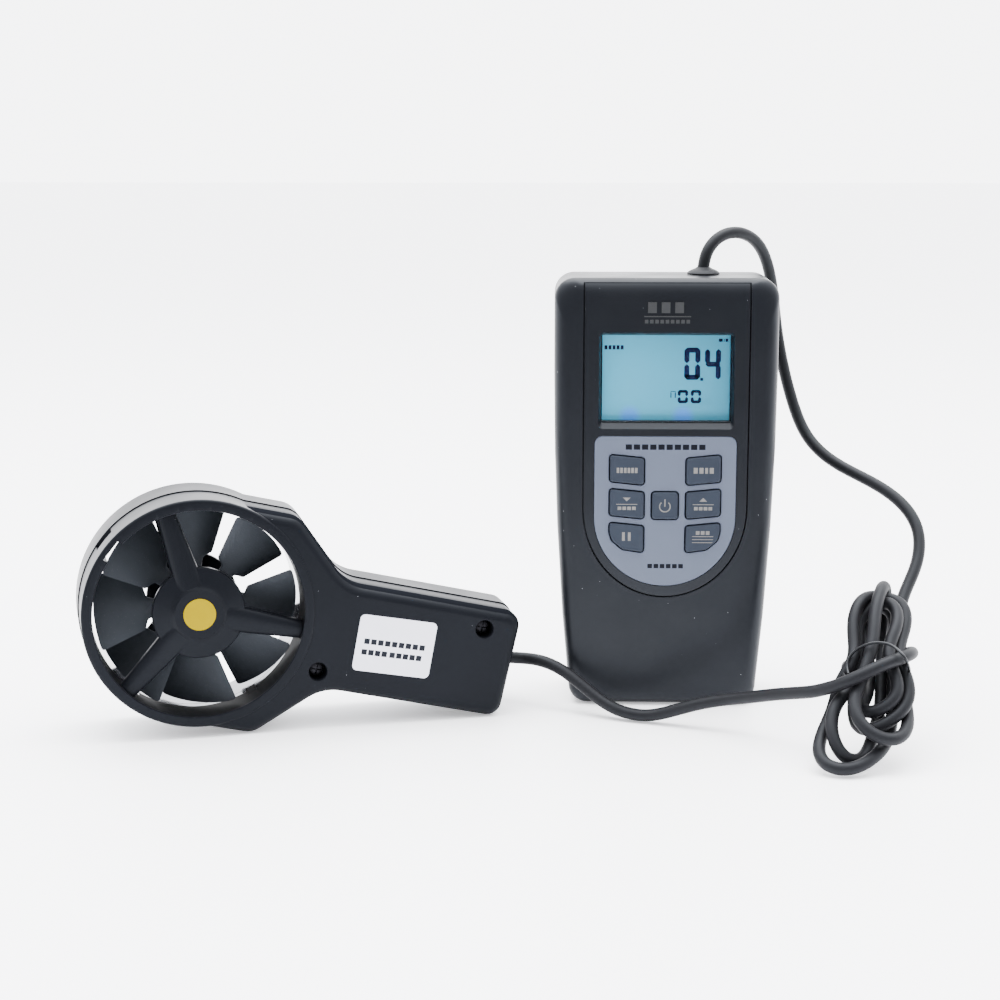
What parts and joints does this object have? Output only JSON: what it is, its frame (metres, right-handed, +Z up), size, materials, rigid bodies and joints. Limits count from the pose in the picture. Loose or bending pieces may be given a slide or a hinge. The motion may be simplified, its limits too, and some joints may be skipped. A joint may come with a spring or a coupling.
{
  "type": "vane anemometer",
  "caption": "Hand-held wind speed meter with a display and keypad, and a separate vane probe with a turning rotor in a ring, joined by a cable tied in a hank.",
  "frame": {"origin": "centre of the meter's base, on the surface that the meter stands on", "axes": "+Z up along the meter, +Y out of the meter's back, +X to the right of its display"},
  "size_m": [0.2708, 0.1191, 0.1554],
  "materials": {
    "case_plastic": "satin moulded",
    "bezel_plastic": "semi-gloss",
    "window_clear": "gloss",
    "display_panel": "gloss",
    "diffuser": "matt",
    "panel_film": "fine matt",
    "key_plastic": "matt",
    "silicone": "matt",
    "board": "solder mask",
    "black_plastic": "semi-gloss",
    "connector_plastic": "matt",
    "steel": "bright",
    "brass": "bright",
    "battery_can": "printed sleeve",
    "cable_rubber": "matt",
    "tie_plastic": "matt",
    "rotor_plastic": "fine texture",
    "sticker_yellow": "satin",
    "label_white": "satin"
  },
  "bodies": {
    "casework": {"meter_front_shell": "case_plastic", "meter_rear_shell": "case_plastic", "front_bezel": "bezel_plastic", "display_window": "window_clear", "display_glass": "display_panel", "display_backlight": "diffuser", "keypad_panel": "panel_film", "keypad_mat": "silicone", "circuit_board": "board", "main_chip": "black_plastic", "buzzer": "black_plastic", "cable_connector": "connector_plastic", "battery_cell_1": "battery_can", "battery_cell_2": "battery_can", "battery_cell_3": "battery_can", "battery_cell_4": "battery_can", "battery_springs": "steel", "battery_contacts": "steel", "case_screw_1": "steel", "case_screw_2": "steel", "case_screw_3": "steel", "case_screw_4": "steel", "cable_grommet": "cable_rubber", "probe_front_shell": "case_plastic", "probe_rear_shell": "case_plastic", "front_guard": "case_plastic", "rear_guard": "case_plastic", "front_bearing": "brass", "rear_bearing": "brass", "hub_sticker": "sticker_yellow", "speed_sensor": "black_plastic", "sensor_board": "board", "probe_label": "label_white", "probe_screw_1": "steel", "probe_screw_2": "steel", "probe_gland": "cable_rubber", "cable_meter_run": "cable_rubber", "cable_probe_run": "cable_rubber", "cable_hank": "cable_rubber", "hank_tie": "tie_plastic"},
    "vane_rotor": {"rotor": "rotor_plastic", "rotor_shaft": "steel"},
    "battery_cover": {"battery_door": "case_plastic"},
    "unit_key": {"key_unit": "key_plastic"},
    "up_key": {"key_up": "key_plastic"},
    "menu_key": {"key_menu": "key_plastic"},
    "mode_key": {"key_mode": "key_plastic"},
    "down_key": {"key_down": "key_plastic"},
    "hold_key": {"key_hold": "key_plastic"},
    "power_key": {"key_power": "key_plastic"}
  },
  "joints": [
    {"name": "rotor_spin", "type": "hinge", "parent": "casework", "child": "vane_rotor", "pos_m": [-0.14861, -0.04205, 0.03932], "axis": [0.2672, -0.9636, 0], "continuous": true},
    {"name": "key_unit_press", "type": "slide", "parent": "casework", "child": "unit_key", "axis": [0, 1, 0], "range_m": [0, 0.0008], "stiffness_N_per_m": 800, "springref_m": -0.0006},
    {"name": "key_up_press", "type": "slide", "parent": "casework", "child": "up_key", "axis": [0, 1, 0], "range_m": [0, 0.0008], "stiffness_N_per_m": 800, "springref_m": -0.0006},
    {"name": "key_menu_press", "type": "slide", "parent": "casework", "child": "menu_key", "axis": [0, 1, 0], "range_m": [0, 0.0008], "stiffness_N_per_m": 800, "springref_m": -0.0006},
    {"name": "key_mode_press", "type": "slide", "parent": "casework", "child": "mode_key", "axis": [0, 1, 0], "range_m": [0, 0.0008], "stiffness_N_per_m": 800, "springref_m": -0.0006},
    {"name": "key_down_press", "type": "slide", "parent": "casework", "child": "down_key", "axis": [0, 1, 0], "range_m": [0, 0.0008], "stiffness_N_per_m": 800, "springref_m": -0.0006},
    {"name": "key_hold_press", "type": "slide", "parent": "casework", "child": "hold_key", "axis": [0, 1, 0], "range_m": [0, 0.0008], "stiffness_N_per_m": 800, "springref_m": -0.0006},
    {"name": "key_power_press", "type": "slide", "parent": "casework", "child": "power_key", "axis": [0, 1, 0], "range_m": [0, 0.0008], "stiffness_N_per_m": 800, "springref_m": -0.0006},
    {"name": "battery_door_hinge", "type": "hinge", "parent": "casework", "child": "battery_cover", "pos_m": [0, 0.01655, 0.0215], "axis": [-1, 0, 0], "range_deg": [0, 75]}
  ]
}
